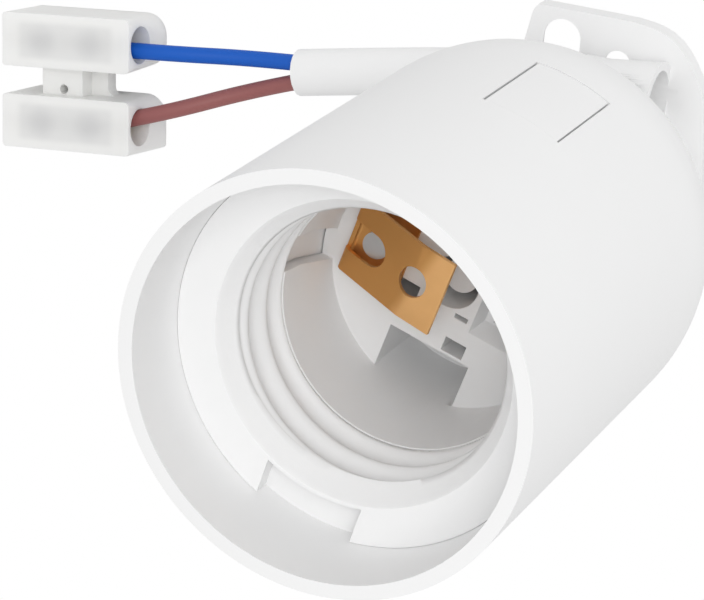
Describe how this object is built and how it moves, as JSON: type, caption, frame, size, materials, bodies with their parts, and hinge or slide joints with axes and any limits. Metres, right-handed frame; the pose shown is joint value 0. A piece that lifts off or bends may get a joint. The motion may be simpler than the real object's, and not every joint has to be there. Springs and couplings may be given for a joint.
{
  "type": "lamp holder",
  "caption": "Moulded screw lamp holder with a round skirt, a domed end on a flat back plate with a slotted lug, and a short lead to a terminal block.",
  "frame": {"origin": "the holder's axis at the flat back face of its back plate", "axes": "+Z along the holder's axis, out of its mouth; +Y towards the lug with the oval hole; the lead leaves towards -X"},
  "size_m": [0.0846, 0.038, 0.0665],
  "materials": {
    "shell_white": "satin moulded",
    "carrier_white": "moulded",
    "contact_bronze": "rolled sheet",
    "contact_steel": "plated",
    "sheath_white": "extruded",
    "core_blue": "extruded",
    "core_brown": "extruded",
    "block_milky": "milky moulded",
    "clamp_brass": "turned",
    "screw_steel": "plated",
    "wire_copper": "drawn"
  },
  "bodies": {
    "root": {"outer_shell": "shell_white", "thread_insert": "shell_white", "contact_carrier": "carrier_white", "centre_contact": "contact_bronze", "side_contact": "contact_steel", "centre_rivet": "contact_steel", "side_rivet": "contact_steel", "centre_tag": "clamp_brass", "side_tag": "clamp_brass", "cord_grip": "carrier_white", "cable_sheath": "sheath_white", "blue_core": "core_blue", "brown_core": "core_brown", "blue_lead": "core_blue", "brown_lead": "core_brown", "terminal_block": "block_milky", "blue_clamp": "clamp_brass", "brown_clamp": "clamp_brass", "blue_clamp_screws": "screw_steel", "brown_clamp_screws": "screw_steel", "blue_wire_end": "wire_copper", "brown_wire_end": "wire_copper"}
  },
  "joints": []
}
